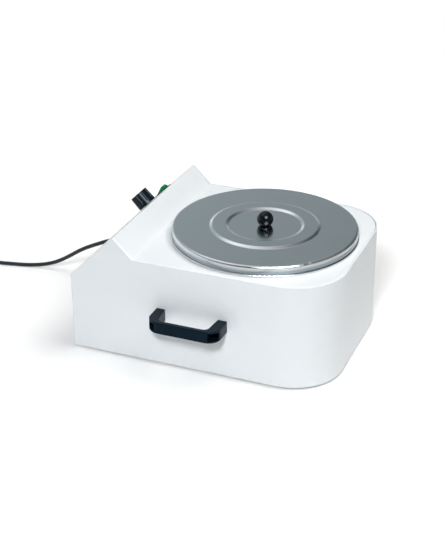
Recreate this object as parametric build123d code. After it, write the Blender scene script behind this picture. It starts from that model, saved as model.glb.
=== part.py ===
from build123d import *
from math import atan2, cos, degrees, hypot, pi, radians, sin, sqrt, tan
import os

# Tabletop wax warmer, in millimetres.
# X runs along the body, with the control end at -X and the rounded end at +X.
# Y runs across it, with the near side at -Y. Z is up, and z = 0 is the table.

# Body: its length and width follow from the pot and the room round it
pot_radius = 132.0
side_room = 22.0
end_room = 21.0
crease_room = 19.0
incline_run = 31.0
incline_rise = 30.0
ridge_from_end = 71.0
deck_height = 163.0
end_wall_height = 122.0
foot_height = 4.0
corner_radius = 80.0
sheet = 2.0
seam = 0.8
crease_bend = 3.0
ridge_bend = 1.2
cover_bend = 2.5
cover_flange = 14.0
incline_flange = 16.0
panel_flange = 14.0
return_flange = 12.0
lip_length = 15.0
lip_gap = 0.4

# Base
base_sheet = 1.5
base_recess = 0.5
slot_count = 7
slot_length = 46.0
slot_width = 4.0
slot_pitch = 11.0
slot_row_from_end = 53.0
slot_row_from_side = 99.0
side_slot_from_side = 25.0
side_slot_step = 60.0
foot_diameter = 20.0
foot_taper = 1.5
foot_bore = 9.0
foot_floor = 1.8
foot_from_end = 51.0
foot_from_side = 42.0

# Fasteners
screw_radius = 2.0
screw_head_radius = 3.8
screw_head = 2.4
screw_hole = 2.3
nut_flats = 7.0
nut_height = 3.2
thread_gap = 0.1
screw_tail = 3.0
stud_radius = 2.0
stud_collar = 5.0
stud_from_edge = 8.0
stud_from_crease = 21.0
end_stud_y = 60.0
low_stud_rise = 30.0
high_stud_drop = 20.0
lip_stud_from_side = 44.0
base_screw_from_end = 53.0
base_screw_from_corner = 23.0
end_screw_y = 50.0
front_screw_from_side = 64.0
slot_gap = 0.4
hole_gap = 0.3
big_screw_radius = 2.5
big_head_radius = 4.5
big_head = 2.8
big_nut_flats = 8.0
big_nut = 4.0
washer_radius = 5.0
washer_sheet = 1.0

# Pot
pot_sheet = 1.0
pot_floor_z = 51.0
pot_corner = 14.0
pot_gap = 2.0
rim_overhang = 11.0
rim_height = 4.0
rim_clear = 0.4
rim_bend = 1.2
bead_from_pot = 4.0
bead_width = 3.4
bead_slope = 0.6
bead_height = 2.4
gasket_from_pot = 2.6
gasket_width = 6.8
clip_count = 6
clip_width = 22.0
clip_length = 13.0
clip_drop = 14.0
clip_sheet = 1.5

# Lid
lid_inset = 1.5
lid_height = 17.0
lid_sheet = 1.0
lid_shoulder = 3.6
step_outer_inset = 57.0
step_inner_inset = 86.5
step_height = 2.5
step_run = 4.6
step_bend = 1.6
ball_diameter = 25.0
ball_height = 22.5
ball_bore_depth = 13.0

# Heater and insulation
heater_inset = 22.0
heater_thick = 6.0
element_inset = 25.0
element_wire = 4.0
element_gap = 60.0
element_lead = 40.0
element_pin = 2.0
element_pin_length = 12.0
clamp_inset = 13.0
clamp_sheet = 2.0
clamp_bore = 15.0
heater_stud_inset = 55.0
heater_stud_count = 3
cutout_radius = 9.0
cutout_height = 9.0
cutout_flange = 13.0
blade_width = 6.3
blade_sheet = 0.8
blade_length = 8.0
blade_space = 9.0
pad_overhang = 8.0
pad_top_z = 28.0
pad_recess = 6.0
jacket_thick = 12.0
jacket_bottom_z = 60.0
jacket_clear = 0.3
bulb_radius = 3.0
bulb_length = 80.0
bulb_y = 30.0
capillary_radius = 0.8
capillary_room = 20.0
capillary_lead = 16.0
capillary_bend = 10.0
saddle_length = 40.0
saddle_width = 7.0
shield_from_pot = 22.0
shield_sheet = 1.2
shield_from_side = 26.0
shield_below_deck = 17.0
shield_window = 110.0
shield_window_bottom = 24.0
shield_window_top = 54.0

# Connections
block_from_end = 43.0
block_length = 42.0
block_width = 20.0
block_height = 15.0
block_poles = 3
block_pole_pitch = 6.0
block_wire_bore = 1.8
block_wire_rise = 10.5
block_screw_space = 30.0
earth_from_end = 38.0
earth_y = 15.0
earth_stud_height = 16.0
shield_screw_from_side = 64.0
wire_radius = 1.05
wire_bend = 3.5
wire_space = 2.15
wire_run = 8.0
wire_run_y = 14.0
wire_run_z = 31.5
boot_length = 10.0
boot_wall = 1.2
boot_gap = 0.15
boot_start = 0.5
sleeve_radius = 3.6
sleeve_length = 14.0
ring_radius = 4.7
ring_sheet = 1.0
tail_reach = 27.0
tail_end_z = 46.0
tail_bend = 9.0

# Thermostat and knob
knob_from_side = 106.0
knob_base_radius = 16.0
knob_top_radius = 15.25
knob_height = 23.0
knob_gap = 1.0
knob_edge = 1.2
knob_flutes = 10
flute_radius = 2.6
flute_depth = 1.1
flute_from_base = 5.5
knob_wall = 2.6
knob_recess = 15.0
hub_radius = 5.6
hub_from_panel = 5.0
shaft_radius = 3.0
shaft_gap = 0.05
shaft_flat = 1.0
shaft_reach = 20.0
shaft_depth = 12.0
bushing_radius = 4.75
bushing_above = 3.6
bushing_gap = 0.25
bushing_nut_flats = 13.0
bushing_nut = 2.6
thermostat_length = 40.0
thermostat_width = 34.0
thermostat_depth = 24.0
thermostat_corner = 4.0
thermostat_blade_y = 11.0

# Rocker switch
rocker_from_side = 47.0
bezel_length = 31.0
bezel_width = 15.0
bezel_height = 1.3
rocker_opening = 26.6
rocker_opening_width = 11.6
rocker_wall = 0.9
rocker_depth = 22.0
rocker_floor = 2.0
cutout_gap = 0.25
paddle_radius = 13.0
paddle_width = 11.0
paddle_rise = 8.9
paddle_tilt = 19.5
paddle_foot = 3.0
paddle_edge = 0.9
paddle_hub = 2.4
pivot_below = 4.2
pin_radius = 1.0
pin_gap = 0.05
pin_length = 1.0
blade_spread = 0.3
blade_spread_y = 0.22

# Handles
handle_x = -7.0
handle_length = 112.0
handle_reach = 41.5
handle_bottom_z = 78.0
handle_height = 18.5
handle_grip = 6.5
handle_foot = 14.0
handle_draft = 3.5
handle_inner_radius = 8.0
handle_outer_radius = 19.5
handle_edge = 1.4
pocket_width = 12.4
pocket_height = 13.0
pocket_corner = 1.5
pocket_floor = 8.0
pocket_from_end = 7.6

# Cord
cord_radius = 3.3
cord_length = 1800.0
cord_from_side = 84.0
cord_z = 76.0
gland_head_radius = 10.5
gland_head = 3.0
gland_tip_radius = 4.8
gland_reach = 24.0
gland_grooves = 4
groove_width = 1.4
groove_depth = 0.9
groove_pitch = 4.4
gland_neck_radius = 7.0
gland_neck = 10.0
gland_nut_radius = 10.0
gland_nut = 5.0
coil_from_end = 342.0
coil_shift_y = 28.0
coil_turn_pitch = 7.1
coil_layer_pitch = 7.1
coil_turns = 3
tie_width = 14.0
tie_sheet = 1.0
tie_gap = 0.3
plug_radius = 19.0
plug_length = 42.0
plug_neck_radius = 6.5
plug_neck_taper = 1.5
plug_neck = 16.0
plug_shoulder = 9.0
plug_shoulder_inset = 6.0
grip_depth = 2.5
grip_width = 6.0
grip_length = 18.0
grip_from_front = 8.0
pin_seat = 3.0
plug_pin_radius = 2.4
plug_pin_length = 19.0
plug_pin_space = 19.0

# Places worked out from the sizes
control_bay = ridge_from_end + incline_run + crease_room
body_length = control_bay + 2 * pot_radius + end_room
body_width = 2 * (pot_radius + side_room)
ridge_height = deck_height + incline_rise
base_z = foot_height
left_x = -body_length / 2
right_x = body_length / 2
half_width = body_width / 2
pot_x = right_x - end_room - pot_radius
deck_z = base_z + deck_height
ridge_z = base_z + ridge_height
end_top_z = base_z + end_wall_height
ridge_x = left_x + ridge_from_end
crease_x = ridge_x + incline_run
inner_y = half_width - sheet
rim_radius = pot_radius + rim_overhang
bead_inner = pot_radius + bead_from_pot
bead_outer = bead_inner + bead_width
gasket_inner = pot_radius + gasket_from_pot
gasket_outer = gasket_inner + gasket_width
lid_radius = rim_radius - lid_inset
step_outer = lid_radius - step_outer_inset
step_inner = lid_radius - step_inner_inset
heater_radius = pot_radius - heater_inset
element_ring = heater_radius - element_inset
clamp_radius = heater_radius - clamp_inset
heater_stud_ring = heater_radius - heater_stud_inset
pad_radius = heater_radius + pad_overhang
shield_x = pot_x - pot_radius - shield_from_pot
shield_width = body_width - 2 * shield_from_side
shield_top_z = deck_z - shield_below_deck
knob_y = half_width - knob_from_side
rocker_y = half_width - rocker_from_side
cord_y = half_width - cord_from_side
block_x = left_x + block_from_end
block_y = cord_y
earth_x = left_x + earth_from_end
coil_x = left_x - coil_from_end
coil_entry_y = cord_y - coil_shift_y
cover_inset = sheet + seam
plate_bottom = base_z + base_recess
plate_top = plate_bottom + base_sheet
lid_top_z = deck_z + lid_height
rim_top_z = deck_z + rim_height
slope_angle = degrees(atan2(ridge_z - end_top_z, ridge_from_end))
slope_length = hypot(ridge_from_end, ridge_z - end_top_z)
slope_dir = Vector(cos(radians(slope_angle)), 0, sin(radians(slope_angle)))
slope_normal = Vector(-slope_dir.Z, 0, slope_dir.X)
slope_mid = Vector((left_x + ridge_x) / 2, 0, (end_top_z + ridge_z) / 2)
panel = Plane(origin=slope_mid, x_dir=slope_dir, z_dir=slope_normal)
span = body_width * 2


def at_z(z):
    """Horizontal plane at height z."""
    return Plane(origin=(0, 0, z))


def panel_at(y, n=0.0):
    """Plane on the sloped panel, y across the body and n above its face."""
    return Plane(origin=slope_mid + Vector(0, y, 0) + slope_normal * n,
                 x_dir=slope_dir, z_dir=slope_normal)


def side_plane():
    """Upright plane whose x and y are the body's X and Z, extruded towards -Y."""
    return Plane(origin=(0, 0, 0), x_dir=(1, 0, 0), z_dir=(0, -1, 0))


def across(face, half):
    """Extrude a side view face over the body from -half to +half in Y."""
    return extrude(side_plane() * face, amount=half, both=True)


def plan(inset, start):
    """Top view outline from x = start to the rounded end, inset all round."""
    end = right_x - inset
    face = Pos((start + end) / 2, 0) * Rectangle(end - start, body_width - 2 * inset)
    corners = face.vertices().sort_by(Axis.X)[-2:]
    return fillet(corners, corner_radius - inset)


def side_view(crease=True, ridge=True):
    """Side view outline of the housing, with its crease and ridge bent or sharp."""
    face = make_face(Polyline(
        (left_x, base_z), (right_x, base_z), (right_x, deck_z), (crease_x, deck_z),
        (ridge_x, ridge_z), (left_x, end_top_z), close=True))
    if crease:
        corner = face.vertices().sort_by_distance((crease_x, deck_z))[0]
        face = fillet(corner, crease_bend)
    if ridge:
        corner = face.vertices().sort_by_distance((ridge_x, ridge_z))[0]
        face = fillet(corner, ridge_bend)
    return face


def side_view_inside(depth):
    """Side view outline, moved inwards by a depth square to each face."""
    face = offset(side_view(False, False), amount=-depth, kind=Kind.INTERSECTION)
    crease = face.vertices().sort_by_distance((crease_x, deck_z))[0]
    return fillet(crease, crease_bend + depth)


def hexagon(flats, height):
    """Hexagonal prism from z = 0, by its width across flats."""
    return extrude(RegularPolygon(flats / sqrt(3), 6), amount=height)


def rod(radius, low, high):
    """Cylinder along z between two heights."""
    return Pos(0, 0, (low + high) / 2) * Cylinder(radius, high - low)


def nut_at(plane, flats, height, bore):
    """Nut that stands on a plane."""
    return plane * (hexagon(flats, height) - rod(bore + thread_gap, -1, height + 1))


def pan_screw(radius, head_radius, head, seat, top):
    """Screw whose head lies under the seat height and whose shank rises to the top."""
    cap = rod(head_radius, seat - head, seat)
    cap = fillet(cap.edges().sort_by(Axis.Z)[0], head * 0.4)
    return cap + rod(radius, seat, top)


def spread(low, high):
    """Three evenly spaced places from low to high."""
    return [low, (low + high) / 2, high]


def stud_spots():
    """Planes on the inner face of the side wall, facing in, at each cover stud."""
    height = deck_z - stud_from_edge
    spots = []
    for side in (-1, 1):
        for x in spread(crease_x + stud_from_crease, right_x - corner_radius - stud_from_edge):
            spots.append(Plane(origin=(x, side * inner_y, height), x_dir=(1, 0, 0),
                               z_dir=(0, -side, 0)))
    for y in (-end_stud_y, end_stud_y):
        spots.append(Plane(origin=(right_x - sheet, y, height), x_dir=(0, 1, 0),
                           z_dir=(-1, 0, 0)))
    return spots


def panel_stud_spots():
    """Planes on the side wall, facing in, at each control panel stud."""
    spots = []
    for side in (-1, 1):
        for z in (base_z + low_stud_rise, end_top_z - high_stud_drop):
            spots.append(Plane(origin=(left_x + stud_from_edge, side * inner_y, z),
                               x_dir=(1, 0, 0), z_dir=(0, -side, 0)))
    return spots


def lip_stud_spots():
    """Planes on the underside of the sloped panel, facing in, over the cover's lip."""
    spots = []
    for y in spread(lip_stud_from_side - half_width, half_width - lip_stud_from_side):
        place = slope_mid + Vector(0, y, 0) - slope_normal * sheet
        place = place + slope_dir * (slope_length / 2 - stud_from_edge)
        spots.append(Plane(origin=place, x_dir=slope_dir, z_dir=slope_normal * -1))
    return spots


def base_screw_spots():
    """Screw places in the return flanges of the side wall and the panel."""
    wall = inner_y - return_flange / 2
    end = right_x - sheet - return_flange / 2
    front = left_x + sheet + return_flange / 2
    row = spread(left_x + base_screw_from_end, right_x - corner_radius - base_screw_from_corner)
    spots = [(x, side * wall) for side in (-1, 1) for x in row]
    spots += [(end, side * end_screw_y) for side in (-1, 1)]
    spots += [(front, side * (half_width - front_screw_from_side)) for side in (-1, 1)]
    return spots


def foot_spots():
    """Centres of the four feet."""
    return [(x, y) for x in (left_x + foot_from_end, right_x - foot_from_end)
            for y in (foot_from_side - half_width, half_width - foot_from_side)]


def shield_screw_spots():
    """Screws that hold the heat shield's foot to the base plate."""
    y = half_width - shield_screw_from_side
    return [(shield_x - return_flange / 2, side * y) for side in (-1, 1)]


def block_screw_spots():
    """Screws that hold the terminal block from under the base plate."""
    return [(block_x + side * block_screw_space / 2, block_y) for side in (-1, 1)]


def handle_screw_spots():
    """X, Z and side of each handle screw."""
    reach = handle_length / 2 - pocket_from_end
    z = handle_bottom_z + handle_height / 2
    return [(handle_x + end * reach, z, side) for side in (-1, 1) for end in (-1, 1)]


# Side wall
def make_side_wrap():
    ring = plan(0, left_x) - plan(sheet, left_x - 20)
    wall = extrude(at_z(base_z) * ring, amount=ridge_height)
    wall = wall & across(side_view(), span)
    turned = plan(sheet / 2, left_x + cover_inset) - plan(sheet + return_flange, left_x - 20)
    wall += extrude(at_z(plate_top) * turned, amount=sheet)
    for x, y in base_screw_spots():
        wall -= Pos(x, y, 0) * rod(screw_radius + thread_gap, 0, plate_top + 2 * sheet)
    for x, z, side in handle_screw_spots():
        hole = Plane(origin=(x, side * half_width, z), z_dir=(0, -side, 0))
        wall -= hole * rod(big_screw_radius + hole_gap, -1, sheet + 1)
    return wall


# Top cover
def make_top_cover():
    half = half_width - cover_inset
    block = extrude(at_z(base_z) * plan(cover_inset, ridge_x), amount=ridge_height)
    block = block & across(side_view(ridge=False), span)
    tops = block.faces().filter_by(lambda f: f.normal_at().Z > 0.3)
    rim = [e for f in tops for e in f.edges()
           if not (e.center().X < 0 and abs(e.center().Y) < 1)
           and not (abs(e.center().Y) < half - 1 and e.center().X < right_x - corner_radius - 1)]
    block = fillet(rim, cover_bend)
    inside = extrude(at_z(0) * plan(cover_inset + sheet, ridge_x - 40), amount=ridge_z + 40)
    inside = inside & across(side_view_inside(sheet), span)
    cover = block - inside
    keep = make_face(Polyline(
        (ridge_x, ridge_z + 9), (ridge_x, ridge_z - incline_flange),
        (crease_x - sheet, deck_z - cover_flange), (right_x + 9, deck_z - cover_flange),
        (right_x + 9, ridge_z + 9), close=True))
    cover = cover & across(keep, span)
    lip_high = slope_length / 2 - sheet / 2
    lip = panel * (Pos(lip_high - lip_length / 2, 0, -sheet - lip_gap - sheet / 2)
                   * Box(lip_length, 2 * (half - sheet - lip_gap), sheet))
    cover += lip
    cover -= Pos(pot_x, 0, 0) * rod(pot_radius + pot_gap, deck_z - 9, deck_z + 9)
    slot = stud_radius + slot_gap
    for spot in stud_spots():
        drop = Pos(0, -spot.y_dir.Z * 10, 0) * Box(2 * slot, 20, 12)
        cover -= spot * (rod(slot, -1, 6) + drop)
    for spot in lip_stud_spots():
        cover -= spot * rod(slot, -1, 6)
    return cover


# Control panel
def make_control_panel():
    half = half_width - cover_inset
    shell = across(side_view(), half) - across(side_view_inside(sheet), span)
    end_x = ridge_x - seam
    keep = make_face(Polyline(
        (left_x - 9, plate_top), (left_x - 9, ridge_z + 20), (end_x, ridge_z + 20),
        (end_x, ridge_z - 25), (left_x + 2 * sheet, end_top_z - 10),
        (left_x + 2 * sheet, plate_top), close=True))
    sheet_part = shell & across(keep, span)
    side = across(side_view(), half) - across(side_view(), half - sheet)
    side -= across(side_view_inside(panel_flange), span)
    keep_side = make_face(Polyline(
        (left_x - 9, plate_top + 2 * sheet), (left_x - 9, ridge_z + 20), (end_x, ridge_z + 20),
        (end_x, ridge_z - 40), (left_x + panel_flange, end_top_z - 10),
        (left_x + panel_flange, plate_top + 2 * sheet), close=True))
    part = sheet_part + (side & across(keep_side, span))
    foot_half = inner_y - return_flange - seam
    part += Pos(left_x + (sheet + return_flange) / 2, 0, plate_top + sheet / 2) * Box(
        sheet + return_flange, 2 * foot_half, sheet)
    part -= panel_at(knob_y) * rod(bushing_radius + bushing_gap, -9, 9)
    part -= panel_at(rocker_y) * Box(rocker_opening + 2 * (rocker_wall + cutout_gap),
                                     rocker_opening_width + 2 * (rocker_wall + cutout_gap), 20)
    gland = Plane(origin=(left_x, cord_y, cord_z), z_dir=(1, 0, 0))
    part -= gland * rod(gland_neck_radius + hole_gap, -9, 9)
    for x, y in base_screw_spots():
        part -= Pos(x, y, 0) * rod(screw_radius + thread_gap, 0, plate_top + 2 * sheet)
    for spot in panel_stud_spots():
        part -= spot * rod(stud_radius + slot_gap, -1, 6)
    return part


# Studs welded inside the wall, and their nuts
def make_studs():
    solids = []
    reach = seam + sheet + nut_height + 1.0
    for spot in stud_spots() + panel_stud_spots():
        solids.append(spot * (rod(stud_radius, 0, reach) + rod(stud_collar, 0, seam)))
    reach = lip_gap + sheet + nut_height + 1.0
    for spot in lip_stud_spots():
        solids.append(spot * (rod(stud_radius, 0, reach) + rod(stud_collar, 0, lip_gap)))
    return solids


def make_stud_nuts():
    solids = []
    for spot in stud_spots() + panel_stud_spots():
        solids.append(nut_at(spot.offset(seam + sheet), nut_flats, nut_height, stud_radius))
    for spot in lip_stud_spots():
        solids.append(nut_at(spot.offset(lip_gap + sheet), nut_flats, nut_height, stud_radius))
    return solids


# Base plate, its screws and the feet
def make_base_plate():
    plate = extrude(at_z(plate_bottom) * plan(cover_inset, left_x + cover_inset),
                    amount=base_sheet)
    holes = base_screw_spots() + shield_screw_spots() + foot_spots() + block_screw_spots()
    for x, y in holes:
        plate -= Pos(x, y, 0) * rod(screw_hole, 0, 20)
    slot = extrude(at_z(0) * SlotOverall(slot_length, slot_width), amount=20)
    for i in range(slot_count):
        across_row = (i - (slot_count - 1) / 2) * slot_pitch
        plate -= Pos(left_x + slot_row_from_end + across_row, slot_row_from_side - half_width,
                     0) * Rot(0, 0, 90) * slot
    for side in (-1, 1):
        for i in (-1, 0, 1):
            plate -= Pos(pot_x + i * side_slot_step,
                         side * (half_width - side_slot_from_side), 0) * slot
    return plate


def make_base_screws():
    solids = []
    tops = {}
    for place in base_screw_spots():
        tops[place] = plate_top + sheet + screw_tail
    for place in shield_screw_spots():
        tops[place] = plate_top + shield_sheet + screw_tail
    for place in block_screw_spots():
        tops[place] = plate_top + block_height / 2
    for (x, y), top in tops.items():
        solids.append(Pos(x, y, 0) * pan_screw(screw_radius, screw_head_radius, screw_head,
                                               plate_bottom, top))
    return solids


def make_feet():
    solids = []
    for x, y in foot_spots():
        foot = loft([at_z(0) * Circle(foot_diameter / 2 - foot_taper),
                     at_z(plate_bottom) * Circle(foot_diameter / 2)])
        foot -= rod(foot_bore / 2, -1, foot_floor)
        foot -= rod(screw_hole, -1, plate_bottom + 1)
        solids.append(Pos(x, y, 0) * foot)
    return solids


def make_foot_screws():
    solids = []
    top = plate_top + nut_height + 1.0
    for x, y in foot_spots():
        head = foot_floor - 0.3
        solids.append(Pos(x, y, 0) * pan_screw(screw_radius, screw_head_radius, head,
                                               foot_floor, top))
    return solids


def make_foot_nuts():
    return [nut_at(Plane(origin=(x, y, plate_top)), nut_flats, nut_height, screw_radius)
            for x, y in foot_spots()]


# Pot, its gasket and the clips that hold it to the cover
def turned(points, bends, x=pot_x):
    """Revolve an outline of (radius, z) points; bends maps a point's index to its radius."""
    face = make_face(Polyline(*points, close=True))
    for index, bend in bends.items():
        corner = face.vertices().sort_by_distance(points[index])[0]
        face = fillet(corner, bend)
    return Pos(x, 0, 0) * revolve(Plane.XZ * face, Axis.Z)


def make_wax_pot():
    t = pot_sheet
    top = rim_top_z
    low = top - t
    edge = deck_z + rim_clear
    high = top + bead_height
    points = [
        (0, pot_floor_z), (pot_radius, pot_floor_z), (pot_radius, low),
        (bead_inner + t, low), (bead_inner + t + bead_slope, high - t),
        (bead_outer - t - bead_slope, high - t), (bead_outer - t, low),
        (rim_radius - t, low), (rim_radius - t, edge), (rim_radius, edge), (rim_radius, top),
        (bead_outer, top), (bead_outer - bead_slope, high), (bead_inner + bead_slope, high),
        (bead_inner, top), (pot_radius - t, top), (pot_radius - t, pot_floor_z + t),
        (0, pot_floor_z + t)]
    bends = {1: pot_corner, 16: pot_corner - t, 10: rim_bend, 15: t, 12: t / 2, 13: t / 2}
    return turned(points, bends)


def make_pot_gasket():
    low = deck_z
    high = rim_top_z - pot_sheet
    ring = rod(gasket_outer, low, high) - rod(gasket_inner, low - 1, high + 1)
    return Pos(pot_x, 0, 0) * ring


def make_pot_clips():
    solids = []
    under = deck_z - sheet
    t = clip_sheet
    inner = pot_radius + thread_gap
    for i in range(clip_count):
        leg = Pos(inner + t / 2, 0, under - clip_drop / 2) * Box(t, clip_width, clip_drop)
        arm = Pos(inner + clip_length / 2, 0, under - t / 2) * Box(clip_length, clip_width, t)
        solids.append(Pos(pot_x, 0, 0) * Rot(0, 0, (i + 0.5) * 360 / clip_count) * (leg + arm))
    return solids


# Lid
def make_lid():
    t = lid_sheet
    top = lid_top_z
    high = top + step_height
    shift = t * tan(atan2(step_height, step_run) / 2)
    rise_end = step_inner + step_run
    fall_start = step_outer - step_run
    bore = big_screw_radius + hole_gap
    low = rim_top_z
    points = [
        (bore, top), (step_inner, top), (rise_end, high), (fall_start, high),
        (step_outer, top), (lid_radius, top), (lid_radius, low), (lid_radius - t, low),
        (lid_radius - t, top - t), (step_outer - shift, top - t),
        (fall_start - shift, high - t), (rise_end + shift, high - t),
        (step_inner + shift, top - t), (bore, top - t)]
    bends = {1: step_bend, 2: step_bend, 3: step_bend, 4: step_bend, 5: lid_shoulder,
             8: lid_shoulder - t}
    return turned(points, bends)


def make_lid_ball():
    radius = ball_diameter / 2
    ball = Pos(0, 0, lid_top_z + ball_height - radius) * Sphere(radius)
    ball -= rod(radius, lid_top_z - radius, lid_top_z)
    ball -= rod(big_screw_radius + thread_gap, lid_top_z - 1, lid_top_z + ball_bore_depth)
    return Pos(pot_x, 0, 0) * ball


def make_lid_screw():
    seat = lid_top_z - lid_sheet - washer_sheet
    return Pos(pot_x, 0, 0) * pan_screw(big_screw_radius, big_head_radius, big_head, seat,
                                        lid_top_z + ball_bore_depth - 1.0)


def make_lid_washer():
    high = lid_top_z - lid_sheet
    ring = rod(washer_radius, high - washer_sheet, high)
    ring -= rod(big_screw_radius + hole_gap, high - 9, high + 9)
    return Pos(pot_x, 0, 0) * ring


# Heater, clamp plate and cut-out
heater_z = pot_floor_z - heater_thick
element_z = heater_z - element_wire
clamp_z = heater_z - 2 * element_wire


def make_heater_plate():
    return Pos(pot_x, 0, 0) * rod(heater_radius, heater_z, pot_floor_z)


def heater_stud_spots():
    turn = 360 / heater_stud_count
    return [Pos(pot_x, 0, 0) * Rot(0, 0, i * turn) * Pos(heater_stud_ring, 0, 0)
            for i in range(heater_stud_count)]


def make_heating_element():
    start = 180 + element_gap / 2
    arc = at_z(element_z) * CenterArc((pot_x, 0), element_ring, start, 360 - element_gap)
    coil = sweep(Plane(origin=arc @ 0, z_dir=arc % 0) * Circle(element_wire), path=arc)
    for end in (arc @ 0, arc @ 1):
        lead = Pos(end.X - element_lead / 2, end.Y, end.Z) * Rot(0, 90, 0)
        coil += Pos(*end) * Sphere(element_wire)
        coil += lead * Cylinder(element_wire, element_lead)
        pin = Pos(end.X - element_lead - element_pin_length / 2, end.Y, end.Z) * Rot(0, 90, 0)
        coil += pin * Cylinder(element_pin, element_pin_length)
    return coil


def make_clamp_plate():
    plate = rod(clamp_radius, clamp_z - clamp_sheet, clamp_z)
    plate -= rod(clamp_bore, clamp_z - 9, clamp_z + 9)
    saddle = heater_z - 2 * bulb_radius - clamp_z
    plate += Pos(0, bulb_y, clamp_z + saddle / 2) * Box(saddle_length, saddle_width, saddle)
    plate = Pos(pot_x, 0, 0) * plate
    for spot in heater_stud_spots():
        plate -= spot * rod(stud_radius + slot_gap, 0, heater_z)
    return plate


def make_heater_studs():
    low = clamp_z - clamp_sheet - nut_height - 1.0
    return [spot * rod(stud_radius, low, heater_z) for spot in heater_stud_spots()]


def make_heater_nuts():
    seat = clamp_z - clamp_sheet - nut_height
    nut = nut_at(at_z(seat), nut_flats, nut_height, stud_radius)
    return [spot * nut for spot in heater_stud_spots()]


def make_overheat_cutout():
    low = heater_z - cutout_height
    part = rod(cutout_radius, low, heater_z) + rod(cutout_flange, heater_z - 1.2, heater_z)
    for side in (-1, 1):
        part += Pos(side * blade_space / 2, 0, low - blade_length / 2) * Box(
            blade_sheet, blade_width, blade_length)
    return Pos(pot_x, 0, 0) * part


# Insulation and heat shield
def make_insulation_pad():
    pad = rod(pad_radius, plate_top, pad_top_z)
    pad -= rod(clamp_bore, pad_top_z - pad_recess, pad_top_z + 1)
    return Pos(pot_x, 0, 0) * pad


def make_insulation_jacket():
    high = deck_z - sheet - clip_drop - 1.0
    inner = pot_radius + jacket_clear
    ring = rod(inner + jacket_thick, jacket_bottom_z, high)
    ring -= rod(inner, jacket_bottom_z - 1, high + 1)
    return Pos(pot_x, 0, 0) * ring


def make_heat_shield():
    t = shield_sheet
    high = shield_top_z - plate_top
    wall = Pos(shield_x + t / 2, 0, plate_top + high / 2) * Box(t, shield_width, high)
    window = shield_window_top - shield_window_bottom
    wall -= Pos(shield_x, 0, shield_window_bottom + window / 2) * Box(20, shield_window, window)
    foot = Pos(shield_x - return_flange / 2, 0, plate_top + t / 2) * Box(
        return_flange, shield_width, t)
    for x, y in shield_screw_spots():
        foot -= Pos(x, y, 0) * rod(screw_radius + thread_gap, 0, 20)
    return wall + foot


# Thermostat, its bulb and its shaft
def make_thermostat_body():
    depth = thermostat_depth
    face = RectangleRounded(thermostat_length, thermostat_width, thermostat_corner)
    part = Pos(0, 0, -sheet - depth) * extrude(face, amount=depth)
    part += rod(bushing_radius, -sheet - 1, bushing_above)
    part -= rod(shaft_radius + shaft_gap, -shaft_depth - 0.5, bushing_above + 1)
    for side in (-1, 1):
        part += Pos(0, side * thermostat_blade_y, -sheet - depth - blade_length / 2) * Box(
            blade_width, blade_sheet, blade_length)
    return panel_at(knob_y) * part


def make_thermostat_nut():
    return nut_at(panel_at(knob_y), bushing_nut_flats, bushing_nut, bushing_radius)


def make_thermostat_shaft():
    shaft = rod(shaft_radius, -shaft_depth, shaft_reach)
    flat_low = hub_from_panel - 0.5
    height = shaft_reach - flat_low
    shaft -= Pos(shaft_radius - shaft_flat + 2, 0, flat_low + height / 2 + 1) * Box(
        4, 9, height + 2)
    return panel_at(knob_y) * shaft


def make_sensor_bulb():
    z = heater_z - bulb_radius
    bulb = Pos(pot_x, bulb_y, z) * Rot(0, 90, 0) * Cylinder(bulb_radius, bulb_length)
    back = slope_mid + Vector(0, knob_y, 0) - slope_normal * (sheet + thermostat_depth)
    low_x = shield_x - capillary_room
    route = [back, back - slope_normal * capillary_lead,
             Vector(low_x, (knob_y + bulb_y) / 2, (back.Z + z) / 2), Vector(low_x, bulb_y, z),
             Vector(pot_x - bulb_length / 2 + 1, bulb_y, z)]
    path = FilletPolyline(*route, radius=capillary_bend)
    tube = sweep(Plane(origin=path @ 0, z_dir=path % 0) * Circle(capillary_radius), path=path)
    return bulb + tube


def make_control_knob():
    low = knob_gap
    high = knob_gap + knob_height
    knob = loft([at_z(low) * Circle(knob_base_radius), at_z(high) * Circle(knob_top_radius)])
    knob = fillet(knob.edges().sort_by(Axis.Z)[-1], knob_edge)
    reach = knob_top_radius + flute_radius - flute_depth
    flute = Pos(reach, 0, 0) * rod(flute_radius, low + flute_from_base, high + 1)
    for i in range(knob_flutes):
        knob -= Rot(0, 0, i * 360 / knob_flutes) * flute
    knob -= rod(knob_base_radius - knob_wall, low - 1, low + knob_recess)
    knob += rod(hub_radius, hub_from_panel, low + knob_recess + 0.5)
    bore = rod(shaft_radius + shaft_gap, hub_from_panel - 1, shaft_reach + 0.5)
    flat = Pos(shaft_radius - shaft_flat + 5 + shaft_gap, 0, high / 2) * Box(10, 20, 4 * high)
    knob -= bore - flat
    return panel_at(knob_y) * knob


# Rocker switch
def make_rocker_housing():
    length = rocker_opening + 2 * rocker_wall
    width = rocker_opening_width + 2 * rocker_wall
    bezel = extrude(RectangleRounded(bezel_length, bezel_width, 1.5), amount=bezel_height)
    bezel = chamfer(bezel.faces().sort_by(Axis.Z)[-1].edges(), 0.4)
    part = bezel + Pos(0, 0, -rocker_depth / 2) * Box(length, width, rocker_depth)
    room = rocker_depth - rocker_floor + bezel_height + 1
    part -= Pos(0, 0, bezel_height + 1 - room / 2) * Box(rocker_opening, rocker_opening_width,
                                                         room)
    axle = Pos(0, 0, -pivot_below) * Rot(90, 0, 0)
    part -= axle * Cylinder(pin_radius + pin_gap, width + 2)
    for along in (-1, 1):
        for side in (-1, 1):
            blade = Pos(along * length * blade_spread, side * width * blade_spread_y,
                        -rocker_depth - blade_length / 2)
            part += blade * Box(blade_width, blade_sheet, blade_length)
    return panel_at(rocker_y) * part


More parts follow.
